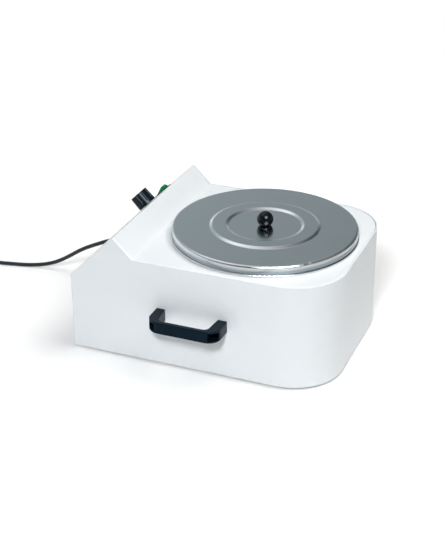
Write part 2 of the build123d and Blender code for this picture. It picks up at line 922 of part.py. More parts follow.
def make_rocker_paddle():
    half = sqrt(paddle_radius ** 2 - paddle_rise ** 2)
    low = radians(12)
    mid = (low + atan2(paddle_rise, half)) / 2
    tip = (paddle_radius * cos(low), paddle_radius * sin(low))
    bulge = (paddle_radius * cos(mid), paddle_radius * sin(mid))
    outline = [
        Polyline((-half, paddle_rise), (half, paddle_rise)),
        ThreePointArc((half, paddle_rise), bulge, tip),
        Polyline(tip, (paddle_hub + 1, -paddle_hub / 2), (paddle_hub / 2, -paddle_foot),
                 (-paddle_hub / 2, -paddle_foot), (-paddle_hub - 1, -paddle_hub / 2),
                 (-tip[0], tip[1])),
        ThreePointArc((-tip[0], tip[1]), (-bulge[0], bulge[1]), (-half, paddle_rise))]
    face = make_face(Curve() + outline)
    tops = face.vertices().sort_by(Axis.Y)[-2:]
    face = fillet(tops, paddle_edge)
    paddle = across(face, paddle_width / 2)
    paddle += Rot(90, 0, 0) * Cylinder(pin_radius, paddle_width + 2 * pin_length)
    return panel_at(rocker_y, -pivot_below) * Rot(0, -paddle_tilt, 0) * paddle


# Carrying handles
def make_handle(side):
    half = handle_length / 2
    foot = half - handle_foot
    rear = handle_reach - handle_grip
    outer = Pos(0, handle_reach / 2) * Rectangle(handle_length, handle_reach)
    outer = fillet(outer.vertices().sort_by(Axis.Y)[-2:], handle_outer_radius)
    inner = make_face(Polyline((-foot, 0), (foot, 0), (foot - handle_draft, rear),
                               (handle_draft - foot, rear), close=True))
    inner = fillet(inner.vertices().sort_by(Axis.Y)[-2:], handle_inner_radius)
    block = extrude(outer, amount=handle_height)
    edges = [e for e in block.edges() if e.center().Y > 0.01
             and abs(e.center().Z - handle_height / 2) > 1]
    block = fillet(edges, handle_edge)
    block -= extrude(inner, amount=handle_height)
    depth = handle_reach - pocket_floor
    pocket = extrude(Plane(origin=(0, pocket_floor, handle_height / 2), z_dir=(0, 1, 0))
                     * RectangleRounded(pocket_width, pocket_height, pocket_corner),
                     amount=depth + 1)
    screw_hole_cut = Plane(origin=(0, 0, handle_height / 2), z_dir=(0, 1, 0)) * rod(
        big_screw_radius + hole_gap, -1, pocket_floor + 1)
    for end in (-1, 1):
        block -= Pos(end * (half - pocket_from_end), 0, 0) * pocket
        block -= Pos(end * (half - pocket_from_end), 0, 0) * screw_hole_cut
    if side < 0:
        block = mirror(block, about=Plane.XZ)
    return Pos(handle_x, side * half_width, handle_bottom_z) * block


def handle_planes():
    return [Plane(origin=(x, side * half_width, z), x_dir=(1, 0, 0), z_dir=(0, -side, 0))
            for x, z, side in handle_screw_spots()]


def make_handle_screws():
    top = sheet + washer_sheet + big_nut + 0.8
    screw = pan_screw(big_screw_radius, big_head_radius, big_head, -pocket_floor, top)
    return [plane * screw for plane in handle_planes()]


def make_handle_nuts():
    nut = Pos(0, 0, sheet + washer_sheet) * hexagon(big_nut_flats, big_nut)
    nut += rod(washer_radius, sheet, sheet + washer_sheet)
    nut -= rod(big_screw_radius + thread_gap, 0, 20)
    return [plane * nut for plane in handle_planes()]


# Terminal block and earth stud
def make_terminal_block():
    block = Pos(block_x, block_y, plate_top) * extrude(
        RectangleRounded(block_length, block_width, 2.0), amount=block_height)
    for i in range(block_poles):
        y = block_y + (i - (block_poles - 1) / 2) * block_pole_pitch
        block -= Pos(block_x, y, block_wire_z) * Rot(0, 90, 0) * Cylinder(
            block_wire_bore, 2 * block_length)
    for x, y in block_screw_spots():
        block -= Pos(x, y, 0) * rod(screw_radius + thread_gap, 0,
                                    plate_top + block_height / 2 + 0.5)
    return block


block_wire_z = plate_top + block_wire_rise


def make_earth_stud():
    stud = rod(big_screw_radius, plate_top, plate_top + earth_stud_height)
    nut = nut_at(at_z(plate_top), big_nut_flats, big_nut, big_screw_radius)
    place = Pos(earth_x, earth_y, 0)
    return [place * stud, place * nut]


# Inner wires, with the push-on terminals at their ends
def blade_planes():
    """Planes at the roots of the wired blades, facing along them, widest side on x."""
    down = slope_normal * -1
    rocker = slope_mid - slope_normal * rocker_depth
    rocker += Vector(0, rocker_y - (rocker_opening_width + 2 * rocker_wall) * blade_spread_y, 0)
    along = slope_dir * ((rocker_opening + 2 * rocker_wall) * blade_spread)
    back = slope_mid + Vector(0, knob_y, 0) - slope_normal * (sheet + thermostat_depth)
    side = Vector(0, thermostat_blade_y, 0)
    return {
        "rocker in": Plane(origin=rocker - along, x_dir=slope_dir, z_dir=down),
        "rocker out": Plane(origin=rocker + along, x_dir=slope_dir, z_dir=down),
        "dial in": Plane(origin=back + side, x_dir=slope_dir, z_dir=down),
        "dial out": Plane(origin=back - side, x_dir=slope_dir, z_dir=down),
        "cutout in": cutout_blade(1),
        "cutout out": cutout_blade(-1)}


def cutout_blade(side):
    """Root of a blade of the overheat cut-out."""
    return Plane(origin=(pot_x + side * blade_space / 2, 0, heater_z - cutout_height),
                 x_dir=(0, 1, 0), z_dir=(0, 0, -1))


def pin_tip(side):
    """Tip of a heating element pin."""
    turn = radians(180 - element_gap / 2)
    return Vector(pot_x + element_ring * cos(turn) - element_lead - element_pin_length,
                  side * element_ring * sin(turn), element_z)


def make_wire_terminals():
    solids = []
    boot = Pos(0, 0, boot_start + boot_length / 2) * Box(
        blade_width + 2 * boot_wall, blade_sheet + 2 * boot_wall, boot_length)
    boot -= Pos(0, 0, blade_length / 2) * Box(
        blade_width + 2 * boot_gap, blade_sheet + 2 * boot_gap, blade_length + 2 * boot_gap)
    for plane in blade_planes().values():
        solids.append(plane * boot)
    for side in (-1, 1):
        root = pin_tip(side) + Vector(element_pin_length - boot_start, 0, 0)
        sleeve = rod(sleeve_radius, 0, sleeve_length)
        sleeve -= rod(element_pin + boot_gap, -1, element_pin_length - boot_start + boot_gap)
        solids.append(Plane(origin=root, z_dir=(-1, 0, 0)) * sleeve)
    low = plate_top + big_nut
    ring = rod(ring_radius, low, low + ring_sheet)
    ring -= rod(big_screw_radius + hole_gap, low - 1, low + 2 * ring_sheet)
    solids.append(Pos(earth_x, earth_y, 0) * ring)
    return solids


def block_hole(pole, side):
    """Place just inside a wire hole of the terminal block, and one clear of the block."""
    y = block_y + pole * block_pole_pitch
    inner = Vector(block_x + side * (block_length / 2 - boot_start), y, block_wire_z)
    return inner, inner + Vector(side * wire_run, 0, 0)


def wire(*points):
    """Insulated wire along a route with small round bends."""
    return tube(FilletPolyline(*points, radius=wire_bend), wire_radius)


def make_inner_wires():
    ends = {}
    clear = {}
    for name, plane in blade_planes().items():
        ends[name] = plane.origin + plane.z_dir * (boot_start + boot_length)
        clear[name] = ends[name] + plane.z_dir * wire_run
    under = {}
    for side, name in ((1, "cutout in"), (-1, "cutout out")):
        x = blade_planes()[name].origin.X
        edge = side * (blade_width / 2 + boot_wall)
        under[name] = [Vector(x, edge, wire_run_z), Vector(x, side * wire_run_y, wire_run_z)]
    sleeve_end = sleeve_length - element_pin_length + boot_start
    sleeves = {side: pin_tip(side) - Vector(sleeve_end, 0, 0) for side in (-1, 1)}
    bay_x = shield_x - capillary_room - wire_run
    live, live_out = block_hole(1, 1)
    neutral, neutral_out = block_hole(0, 1)
    earth, earth_out = block_hole(-1, 1)
    ring = Vector(earth_x + ring_radius - 1, earth_y, plate_top + big_nut + ring_sheet
                  + wire_radius)
    solids = [
        wire(ends["rocker in"], clear["rocker in"], live_out, live),
        wire(ends["rocker out"], clear["rocker out"], clear["dial in"], ends["dial in"]),
        wire(ends["dial out"], clear["dial out"], Vector(bay_x, wire_run_y, wire_run_z),
             under["cutout in"][1], under["cutout in"][0]),
        wire(*under["cutout out"], Vector(sleeves[-1].X, -wire_run_y, wire_run_z),
             sleeves[-1] - Vector(wire_run, 0, 0), sleeves[-1]),
        wire(sleeves[1], sleeves[1] - Vector(wire_run, 0, 0),
             Vector(shield_x - wire_run, sleeves[1].Y + wire_run, wire_run_z), neutral_out,
             neutral),
        wire(earth, earth_out, ring + Vector(2 * wire_run, 2 * wire_run, 0),
             ring + Vector(wire_run, 0, 0), ring)]
    for pole in (-1, 0, 1):
        inside, out = block_hole(pole, -1)
        start = Vector(left_x + tail_reach, cord_y + pole * wire_space, tail_end_z)
        drop = Vector(start.X, start.Y, (start.Z + block_wire_z) / 2 + wire_run)
        over = Vector(out.X, out.Y, (start.Z + block_wire_z) / 2)
        solids.append(wire(start, drop, over, out, inside))
    return solids


def make_cord_tail():
    start = Vector(left_x + gland_neck, cord_y, cord_z)
    corner = Vector(left_x + tail_reach, cord_y, cord_z)
    return tube(FilletPolyline(start, corner, Vector(corner.X, cord_y, tail_end_z),
                               radius=tail_bend), cord_radius)


# Cord, its gland, coil, tie and plug
def gland_plane():
    return Plane(origin=(left_x, cord_y, cord_z), x_dir=(0, 1, 0), z_dir=(-1, 0, 0))


def make_cord_gland():
    body = rod(gland_head_radius, 0, gland_head) + rod(gland_neck_radius, -gland_neck, 1)
    body += loft([at_z(gland_head) * Circle(gland_neck_radius),
                  at_z(gland_reach) * Circle(gland_tip_radius)])
    taper = (gland_neck_radius - gland_tip_radius) / (gland_reach - gland_head)
    for i in range(gland_grooves):
        low = gland_head + (i + 0.5) * groove_pitch
        floor = gland_neck_radius - taper * (low - gland_head) - groove_depth
        body -= rod(gland_head_radius, low, low + groove_width) - rod(floor, low - 1, low + 9)
    return gland_plane() * body


def make_gland_nut():
    nut = rod(gland_nut_radius, -sheet - gland_nut, -sheet)
    nut -= rod(gland_neck_radius + thread_gap, -40, 9)
    return gland_plane() * nut


coil_low_z = tie_sheet + tie_gap + cord_radius
coil_high_z = coil_low_z + coil_layer_pitch
coil_end = 2 * cord_radius

# Each free stretch as (distance from the end wall, shift towards -Y, height)
cord_run = [
    (gland_reach, 0, cord_z), (42, 0, cord_z), (70, 0, 62.8), (101, 0, 47.5), (135, 1, 23.3),
    (163, 3.5, 9.3), (197, 10, 3.5), (237, 19, 3.5), (272, 25.5, 3.7),
    (307, coil_shift_y, coil_low_z), (coil_from_end - coil_end, coil_shift_y, coil_low_z)]
lead_run = [
    (coil_from_end + coil_end, coil_shift_y, coil_high_z), (369, coil_shift_y, coil_high_z),
    (397, 25.5, 15.6), (423, 20, plug_radius), (441, 15, plug_radius)]
cord_points = [(left_x - out, cord_y - shift, z) for out, shift, z in cord_run]
lead_points = [(left_x - out, cord_y - shift, z) for out, shift, z in lead_run]


def soft_path(points):
    """Straight runs joined by arcs of 0.45 of the shorter run over tan(half the turn)."""
    spots = [Vector(*p) for p in points]
    radii = []
    for a, b, c in zip(spots, spots[1:], spots[2:]):
        turn = (b - a).get_angle(c - b)
        shorter = min((b - a).length, (c - b).length)
        radii.append(0.45 * shorter / tan(radians(turn / 2)))
    return FilletPolyline(*spots, radius=radii), radii


def tube(path, radius):
    """Round tube swept along a path."""
    return sweep(Plane(origin=path @ 0, z_dir=path % 0) * Circle(radius), path=path)


def coil_radius():
    """Radius of the coil's first half turn, which uses up the cord's length."""
    free = soft_path(cord_points)[0].length + soft_path(lead_points)[0].length
    coiled = cord_length - free - 2 * coil_end
    halves = 4 * coil_turns
    steps = coil_turn_pitch / 2 * (2 * sum(range(2 * coil_turns)) + 2 * coil_turns)
    return (coiled / pi + steps) / halves


def coil_wire():
    """Two layers of turns: spiral in below, climb in one half turn, spiral out above."""
    step = coil_turn_pitch / 2
    radius = coil_radius()
    y = coil_entry_y
    z = coil_low_z
    edges = [Line((coil_x + coil_end, y, z), (coil_x, y, z))]
    for k in range(4 * coil_turns):
        inward = 2 * coil_turns
        size = radius - step * (k if k <= inward else 2 * inward - k)
        heading = -1 if k % 2 == 0 else 1
        end_y = y + heading * 2 * size
        end_z = coil_high_z if k >= inward else coil_low_z
        middle = Vector(coil_x, (y + end_y) / 2, (z + end_z) / 2)
        reach = hypot(size, (end_z - z) / 2)
        edges.append(ThreePointArc((coil_x, y, z), middle + Vector(heading * reach, 0, 0),
                                   (coil_x, end_y, end_z)))
        y = end_y
        z = end_z
    edges.append(Line((coil_x, y, z), (coil_x - coil_end, y, z)))
    return Wire(edges)


def make_coil_tie():
    radius = coil_radius()
    centre_y = coil_entry_y - radius
    inner_turn = radius - coil_turn_pitch * coil_turns
    near = sqrt(inner_turn ** 2 - (tie_width / 2) ** 2) - cord_radius - tie_gap
    far = radius + cord_radius + tie_gap
    low = coil_low_z - cord_radius - tie_gap
    high = coil_high_z + cord_radius + tie_gap
    outline = Pos(coil_x - (near + far) / 2, (low + high) / 2) * RectangleRounded(
        far - near + 2 * tie_sheet, high - low + 2 * tie_sheet, 3.0)
    hole = Pos(coil_x - (near + far) / 2, (low + high) / 2) * RectangleRounded(
        far - near, high - low, 2.0)
    return Pos(0, centre_y, 0) * across(outline - hole, tie_width / 2)


def plug_plane():
    a = Vector(*lead_points[-2])
    b = Vector(*lead_points[-1])
    return Plane(origin=b, x_dir=(0, 0, 1), z_dir=b - a)


def make_mains_plug():
    back = plug_neck
    front = plug_neck + plug_length
    points = [(0, 0), (plug_neck_radius - plug_neck_taper, 0), (plug_neck_radius, back),
              (plug_radius - plug_shoulder_inset, back + 1), (plug_radius, back + plug_shoulder),
              (plug_radius, front), (0, front)]
    face = make_face(Polyline(*points, close=True))
    body = revolve(Plane.XZ * face, Axis.Z)
    for side in (-1, 1):
        body -= Pos(side * plug_radius, 0, front - grip_from_front) * Box(
            2 * grip_depth, grip_width, grip_length)
    for side in (-1, 1):
        body -= Pos(0, side * plug_pin_space / 2, 0) * rod(plug_pin_radius, front - pin_seat,
                                                           front + 1)
    return plug_plane() * body


def make_plug_pins():
    front = plug_neck + plug_length
    pin = rod(plug_pin_radius, front - pin_seat, front + plug_pin_length)
    pin = fillet(pin.edges().sort_by(Axis.Z)[-1], plug_pin_radius * 0.6)
    return [plug_plane() * Pos(0, side * plug_pin_space / 2, 0) * pin for side in (-1, 1)]


def least_gap(wire, count=2400):
    """Least clear distance between parts of the coil that aren't next to each other."""
    spots = [wire @ (i / count) for i in range(count + 1)]
    step = wire.length / count
    skip = int(coil_radius() / step)
    best = span
    for i in range(0, count, 2):
        for j in range(i + skip, count, 2):
            best = min(best, (spots[i] - spots[j]).length)
    return best - 2 * cord_radius


def group(solids):
    """Separate solids that share one name."""
    return Compound(children=solids)


cord_path, cord_radii = soft_path(cord_points)
lead_path, lead_radii = soft_path(lead_points)
coil_path = coil_wire()
mains_cord = tube(cord_path, cord_radius)
plug_lead = tube(lead_path, cord_radius)
cord_coil = tube(coil_path, cord_radius)

parts = {
    "side_wrap": make_side_wrap(),
    "top_cover": make_top_cover(),
    "control_panel": make_control_panel(),
    "cover_studs": group(make_studs()),
    "cover_nuts": group(make_stud_nuts()),
    "base_plate": make_base_plate(),
    "base_screws": group(make_base_screws()),
    "rubber_feet": group(make_feet()),
    "foot_screws": group(make_foot_screws()),
    "foot_nuts": group(make_foot_nuts()),
    "wax_pot": make_wax_pot(),
    "pot_gasket": make_pot_gasket(),
    "pot_clips": group(make_pot_clips()),
    "lid": make_lid(),
    "lid_ball": make_lid_ball(),
    "lid_screw": make_lid_screw(),
    "lid_washer": make_lid_washer(),
    "heater_plate": make_heater_plate(),
    "heating_element": make_heating_element(),
    "clamp_plate": make_clamp_plate(),
    "heater_studs": group(make_heater_studs()),
    "heater_nuts": group(make_heater_nuts()),
    "overheat_cutout": make_overheat_cutout(),
    "insulation_pad": make_insulation_pad(),
    "insulation_jacket": make_insulation_jacket(),
    "heat_shield": make_heat_shield(),
    "thermostat_body": make_thermostat_body(),
    "thermostat_nut": make_thermostat_nut(),
    "thermostat_shaft": make_thermostat_shaft(),
    "sensor_bulb": make_sensor_bulb(),
    "control_knob": make_control_knob(),
    "rocker_housing": make_rocker_housing(),
    "rocker_paddle": make_rocker_paddle(),
    "handle_near": make_handle(-1),
    "handle_far": make_handle(1),
    "handle_screws": group(make_handle_screws()),
    "handle_nuts": group(make_handle_nuts()),
    "terminal_block": make_terminal_block(),
    "earth_stud": group(make_earth_stud()),
    "wire_terminals": group(make_wire_terminals()),
    "inner_wires": group(make_inner_wires()),
    "cord_tail": make_cord_tail(),
    "cord_gland": make_cord_gland(),
    "gland_nut": make_gland_nut(),
    "mains_cord": mains_cord,
    "cord_coil": cord_coil,
    "coil_tie": make_coil_tie(),
    "plug_lead": plug_lead,
    "mains_plug": make_mains_plug(),
    "plug_pins": group(make_plug_pins()),
}

os.makedirs("parts", exist_ok=True)
for name, shape in parts.items():
    export_step(shape, f"parts/{name}.step")

print("cord radii", [round(r) for r in cord_radii], [round(r) for r in lead_radii])
print("cord length", round(cord_path.length + lead_path.length + coil_path.length, 1))
print("coil gap", round(least_gap(coil_path), 2))
for label, shape, path in (("cord", mains_cord, cord_path), ("lead", plug_lead, lead_path),
                           ("coil", cord_coil, coil_path)):
    print(label, "volume", round(shape.volume), "of", round(pi * cord_radius ** 2 * path.length))
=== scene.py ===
import math

import bmesh
import bpy
from mathutils import Matrix, Vector


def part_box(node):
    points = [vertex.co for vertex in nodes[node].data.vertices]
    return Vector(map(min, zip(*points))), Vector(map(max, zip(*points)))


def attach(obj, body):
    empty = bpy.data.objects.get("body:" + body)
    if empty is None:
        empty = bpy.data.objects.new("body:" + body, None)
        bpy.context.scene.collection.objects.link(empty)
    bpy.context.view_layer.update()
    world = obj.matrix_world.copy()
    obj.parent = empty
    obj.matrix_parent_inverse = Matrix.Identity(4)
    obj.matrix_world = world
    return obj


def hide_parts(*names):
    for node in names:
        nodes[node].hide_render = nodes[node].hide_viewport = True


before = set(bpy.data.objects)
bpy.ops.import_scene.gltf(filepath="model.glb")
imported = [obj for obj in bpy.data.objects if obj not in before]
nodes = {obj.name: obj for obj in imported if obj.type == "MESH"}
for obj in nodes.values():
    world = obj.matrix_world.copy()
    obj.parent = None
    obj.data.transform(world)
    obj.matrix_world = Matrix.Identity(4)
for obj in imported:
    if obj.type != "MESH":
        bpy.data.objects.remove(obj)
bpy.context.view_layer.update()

# Node tree helpers. The Mix node uses each socket name several times, so its colour sockets
# go by number.
MIX_FACTOR = 0
MIX_FIRST = 6
MIX_SECOND = 7
MIX_RESULT = 2


def new_tree(name):
    """A new material, its node tree and its Principled shader."""
    material = bpy.data.materials.new(name)
    material.use_nodes = True
    tree = material.node_tree
    shader = tree.nodes["Principled BSDF"]
    return material, tree, shader


def add(tree, kind, inputs=None, **settings):
    """A node with its settings and the values of its sockets."""
    node = tree.nodes.new(kind)
    for key, value in settings.items():
        setattr(node, key, value)
    for key, value in (inputs or {}).items():
        node.inputs[key].default_value = value
    return node


def stretched(tree, scale, turn=0.0):
    """Object coordinates, turned about Z and scaled by a vector."""
    place = add(tree, "ShaderNodeTexCoord")
    mapping = add(tree, "ShaderNodeMapping", {"Rotation": (0, 0, turn), "Scale": scale})
    tree.links.new(place.outputs["Object"], mapping.inputs["Vector"])
    return mapping.outputs["Vector"]


def directions(tree, vector):
    """The X, Y and Z of a vector, as the outputs of one node."""
    split = add(tree, "ShaderNodeSeparateXYZ")
    tree.links.new(vector, split.inputs["Vector"])
    return split.outputs


def noise(tree, vector, scale, detail=3.0, rough=0.5):
    """Noise texture on the given coordinates."""
    node = add(tree, "ShaderNodeTexNoise",
               {"Scale": scale, "Detail": detail, "Roughness": rough})
    tree.links.new(vector, node.inputs["Vector"])
    return node.outputs["Fac"]


def ranged(tree, value, low, high, start=0.0, end=1.0, **settings):
    """Map a value that runs from start to end onto low to high, and hold it there."""
    node = add(tree, "ShaderNodeMapRange",
               {"From Min": start, "From Max": end, "To Min": low, "To Max": high}, **settings)
    tree.links.new(value, node.inputs["Value"])
    return node.outputs["Result"]


def combined(tree, operation, first, second):
    """Two values added or multiplied."""
    node = add(tree, "ShaderNodeMath", operation=operation)
    tree.links.new(first, node.inputs[0])
    tree.links.new(second, node.inputs[1])
    return node.outputs["Value"]


def mixed(tree, factor, first, second):
    """The first shader at factor 0 and the second at factor 1."""
    node = add(tree, "ShaderNodeMixShader")
    tree.links.new(factor, node.inputs[0])
    tree.links.new(first, node.inputs[1])
    tree.links.new(second, node.inputs[2])
    return node.outputs["Shader"]


BEVEL_SAMPLES = 4


def bumped(tree, shader, height, depth, edge=0.0):
    """Bump from a height value, over edges rounded by a small radius."""
    bump = add(tree, "ShaderNodeBump", {"Strength": 1.0, "Distance": depth})
    tree.links.new(height, bump.inputs["Height"])
    if edge:
        bevel = add(tree, "ShaderNodeBevel", {"Radius": edge}, samples=BEVEL_SAMPLES)
        tree.links.new(bevel.outputs["Normal"], bump.inputs["Normal"])
    tree.links.new(bump.outputs["Normal"], shader.inputs["Normal"])


def varied(tree, value, dark, light):
    """A colour that varies between two colours with a 0..1 value."""
    mix = add(tree, "ShaderNodeMix", data_type="RGBA")
    mix.inputs[MIX_FIRST].default_value = (*dark, 1)
    mix.inputs[MIX_SECOND].default_value = (*light, 1)
    tree.links.new(value, mix.inputs[MIX_FACTOR])
    return mix.outputs[MIX_RESULT]


BROAD_SHARE = 0.03
BROAD_DETAIL = 2.0


def finish_surface(name, dark, light, rough, spread, grain, depth, metallic=0.0, edge=0.0,
                   ior=1.5, tint=(1, 1, 1), stretch=(1, 1, 1), detail=3.0):
    """A material with gloss and bump from a fine noise, and colour from a broad one."""
    material, tree, shader = new_tree(name)
    vector = stretched(tree, stretch)
    fine = noise(tree, vector, grain, detail)
    broad = noise(tree, vector, grain * BROAD_SHARE, BROAD_DETAIL)
    shader.inputs["Metallic"].default_value = metallic
    shader.inputs["IOR"].default_value = ior
    shader.inputs["Specular Tint"].default_value = (*tint, 1)
    tree.links.new(varied(tree, broad, dark, light), shader.inputs["Base Color"])
    rough_value = ranged(tree, fine, rough - spread, rough + spread)
    tree.links.new(rough_value, shader.inputs["Roughness"])
    bumped(tree, shader, fine, depth, edge)
    return material


# Paint
powder_white = finish_surface(
    "powder_white", (0.815, 0.845, 0.865), (0.845, 0.872, 0.888),
    rough=0.34, spread=0.05, grain=1100, depth=0.00004, edge=0.0007, ior=1.43)
base_white = finish_surface(
    "powder_white_base", (0.80, 0.81, 0.82), (0.85, 0.855, 0.86),
    rough=0.42, spread=0.06, grain=900, depth=0.00005)

# Brushed steel
BRUSH_STRETCH = (14, 900, 900)
BRUSH_TURN = math.radians(-14)
BRUSH_DETAIL = 5.0
BRUSH_BREAKUP = 0.65
BRUSH_DEPTH = 0.0000015
PATCH_GRAIN = 9.0
PATCH_LOW = 0.85
PATCH_HIGH = 1.15
# Painted reflection: below LID_SKIRT_Z the lid's colour is darkened and tinted blue, standing
# in for the dark band that its skirt reflects.
PAINTED_REFLECTION_BLEND = 0.005
PAINTED_REFLECTION_TINT = (0.42, 0.48, 0.52)
LID_SKIRT_Z = 0.18


def painted_reflection(tree, colour, height):
    """A colour with a painted reflection: a darker and bluer tint just below a height, for the
    dark band that the lid's skirt reflects.
    """
    place = add(tree, "ShaderNodeTexCoord")
    z = directions(tree, place.outputs["Object"])["Z"]
    low = ranged(tree, z, 0.0, 1.0, height, height - PAINTED_REFLECTION_BLEND)
    shade = add(tree, "ShaderNodeMix", data_type="RGBA", blend_type="MULTIPLY")
    shade.inputs[MIX_SECOND].default_value = (*PAINTED_REFLECTION_TINT, 1)
    tree.links.new(low, shade.inputs[MIX_FACTOR])
    tree.links.new(colour, shade.inputs[MIX_FIRST])
    return shade.outputs[MIX_RESULT]


def make_brushed(name, dark, light, rough, spread, edge=0.0, painted_reflection_below=0.0):
    """Steel with fine straight brush lines, and a painted darker reflection below a height if
    one is given.
    """
    material, tree, shader = new_tree(name)
    lines = noise(tree, stretched(tree, BRUSH_STRETCH, BRUSH_TURN), 1.0, BRUSH_DETAIL,
                  BRUSH_BREAKUP)
    patches = noise(tree, stretched(tree, (1, 1, 1)), PATCH_GRAIN)
    shader.inputs["Metallic"].default_value = 1.0
    colour = varied(tree, lines, dark, light)
    if painted_reflection_below:
        colour = painted_reflection(tree, colour, painted_reflection_below)
    tree.links.new(colour, shader.inputs["Base Color"])
    gloss = combined(tree, "MULTIPLY", ranged(tree, lines, rough - spread, rough + spread),
                     ranged(tree, patches, PATCH_LOW, PATCH_HIGH))
    tree.links.new(gloss, shader.inputs["Roughness"])
    bumped(tree, shader, lines, BRUSH_DEPTH, edge)
    return material


# The lid's skirt gets the painted darker reflection below LID_SKIRT_Z.
lid_steel = make_brushed("lid_steel", (0.61, 0.615, 0.62), (0.75, 0.75, 0.755),
                         rough=0.18, spread=0.04, edge=0.0022, painted_reflection_below=LID_SKIRT_Z)
pot_steel = make_brushed("pot_steel", (0.60, 0.60, 0.60), (0.70, 0.70, 0.69),
                         rough=0.2, spread=0.05)

# Other metals
zinc = finish_surface(
    "zinc", (0.58, 0.59, 0.58), (0.72, 0.71, 0.67),
    rough=0.33, spread=0.08, grain=600, depth=0.00001, metallic=1.0)
nickel = finish_surface(
    "nickel", (0.66, 0.63, 0.58), (0.74, 0.72, 0.67),
    rough=0.18, spread=0.05, grain=800, depth=0.000005, metallic=1.0)
aluminium = finish_surface(
    "aluminium", (0.76, 0.76, 0.77), (0.82, 0.82, 0.83),
    rough=0.32, spread=0.06, grain=300, depth=0.00001, metallic=1.0, stretch=(1, 20, 1))
copper = finish_surface(
    "copper", (0.62, 0.32, 0.20), (0.80, 0.45, 0.30),
    rough=0.28, spread=0.06, grain=500, depth=0.00001, metallic=1.0)

# Black plastics and rubbers
ball_black = finish_surface(
    "ball_black", (0.002, 0.003, 0.004), (0.004, 0.005, 0.006),
    rough=0.05, spread=0.02, grain=400, depth=0.000002, ior=1.36, tint=(0.72, 0.86, 1))
knob_black = finish_surface(
    "knob_black", (0.002, 0.004, 0.007), (0.004, 0.007, 0.011),
    rough=0.24, spread=0.05, grain=1500, depth=0.00001, edge=0.0004, ior=1.35,
    tint=(0.75, 0.9, 1))
handle_black = finish_surface(
    "handle_black", (0.001, 0.004, 0.007), (0.003, 0.007, 0.012),
    rough=0.38, spread=0.06, grain=1600, depth=0.00002, edge=0.0004, ior=1.32,
    tint=(0.16, 0.45, 0.72))
switch_black = finish_surface(
    "switch_black", (0.010, 0.010, 0.012), (0.015, 0.016, 0.018),
    rough=0.3, spread=0.04, grain=1200, depth=0.00001, edge=0.0003)
cord_black = finish_surface(
    "cord_black", (0.008, 0.013, 0.017), (0.014, 0.020, 0.025),
    rough=0.3, spread=0.06, grain=1300, depth=0.00001)
rubber_black = finish_surface(
    "rubber_black", (0.016, 0.017, 0.018), (0.028, 0.029, 0.030),
    rough=0.6, spread=0.08, grain=1400, depth=0.00003)

# Seals, insulation and pale plastic inside
silicone = finish_surface(
    "silicone", (0.62, 0.61, 0.58), (0.70, 0.69, 0.66),
    rough=0.55, spread=0.06, grain=700, depth=0.00002)
wool = finish_surface(
    "mineral_wool", (0.46, 0.42, 0.30), (0.66, 0.62, 0.48),
    rough=0.95, spread=0.04, grain=260, depth=0.0006, detail=8.0, stretch=(1, 1, 3))
cream = finish_surface(
    "cream_plastic", (0.74, 0.71, 0.60), (0.80, 0.78, 0.68),
    rough=0.4, spread=0.05, grain=1200, depth=0.00001)

# Green switch plastic
GREEN_DARK = (0.0, 0.18, 0.055)
GREEN_LIGHT = (0.001, 0.225, 0.07)
GREEN_IOR = 1.25
GREEN_GRAIN = 900
GREEN_DEPTH = 0.00001
GREEN_EDGE = 0.0003
GREEN_ROUGH_LOW = 0.2
GREEN_ROUGH_HIGH = 0.3
GREEN_SCATTER = 0.15
GREEN_SCATTER_RADIUS = (0.001, 0.004, 0.002)


def make_green():
    """Slightly translucent green plastic."""
    material, tree, shader = new_tree("green_plastic")
    fine = noise(tree, stretched(tree, (1, 1, 1)), GREEN_GRAIN)
    tree.links.new(varied(tree, fine, GREEN_DARK, GREEN_LIGHT), shader.inputs["Base Color"])
    shader.inputs["IOR"].default_value = GREEN_IOR
    shader.inputs["Subsurface Weight"].default_value = GREEN_SCATTER
    shader.inputs["Subsurface Radius"].default_value = GREEN_SCATTER_RADIUS
    rough_value = ranged(tree, fine, GREEN_ROUGH_LOW, GREEN_ROUGH_HIGH)
    tree.links.new(rough_value, shader.inputs["Roughness"])
    bumped(tree, shader, fine, GREEN_DEPTH, GREEN_EDGE)
    return material


green = make_green()

surfaces = {
    "wire_terminals": silicone, "inner_wires": cream, "cord_tail": cord_black,
    "side_wrap": powder_white, "top_cover": powder_white, "control_panel": powder_white,
    "base_plate": base_white, "cover_studs": zinc, "cover_nuts": zinc, "base_screws": zinc,
    "rubber_feet": rubber_black, "foot_screws": zinc, "foot_nuts": zinc,
    "wax_pot": pot_steel, "pot_gasket": silicone, "pot_clips": pot_steel,
    "lid": lid_steel, "lid_ball": ball_black, "lid_screw": zinc, "lid_washer": zinc,
    "heater_plate": aluminium, "heating_element": nickel, "clamp_plate": zinc,
    "heater_studs": zinc, "heater_nuts": zinc, "overheat_cutout": cream,
    "insulation_pad": wool, "insulation_jacket": wool, "heat_shield": zinc,
    "thermostat_body": zinc, "thermostat_nut": nickel, "thermostat_shaft": nickel,
    "sensor_bulb": copper, "control_knob": knob_black, "rocker_housing": switch_black,
    "rocker_paddle": green, "handle_near": handle_black, "handle_far": handle_black,
    "handle_screws": zinc, "handle_nuts": zinc, "terminal_block": cream,
    "earth_stud": zinc, "cord_gland": rubber_black, "gland_nut": switch_black,
    "coil_tie": rubber_black, "mains_plug": rubber_black, "plug_pins": nickel,
}
for name, surface in surfaces.items():
    data = nodes[name].data
    data.materials.clear()
    data.materials.append(surface)

# Camera: the photograph's 446 by 536 frame, with the principal point at its middle
PHOTO_LONG_SIDE = 536
FOCAL_PIXELS = 1291.54
SENSOR = 36.0
AZIMUTH = math.radians(21.73)
ELEVATION = math.radians(26.94)
CAMERA_PLACE = Vector((0.64715, -1.67038, 1.01174))
CLIP_NEAR = 0.01
CLIP_FAR = 50


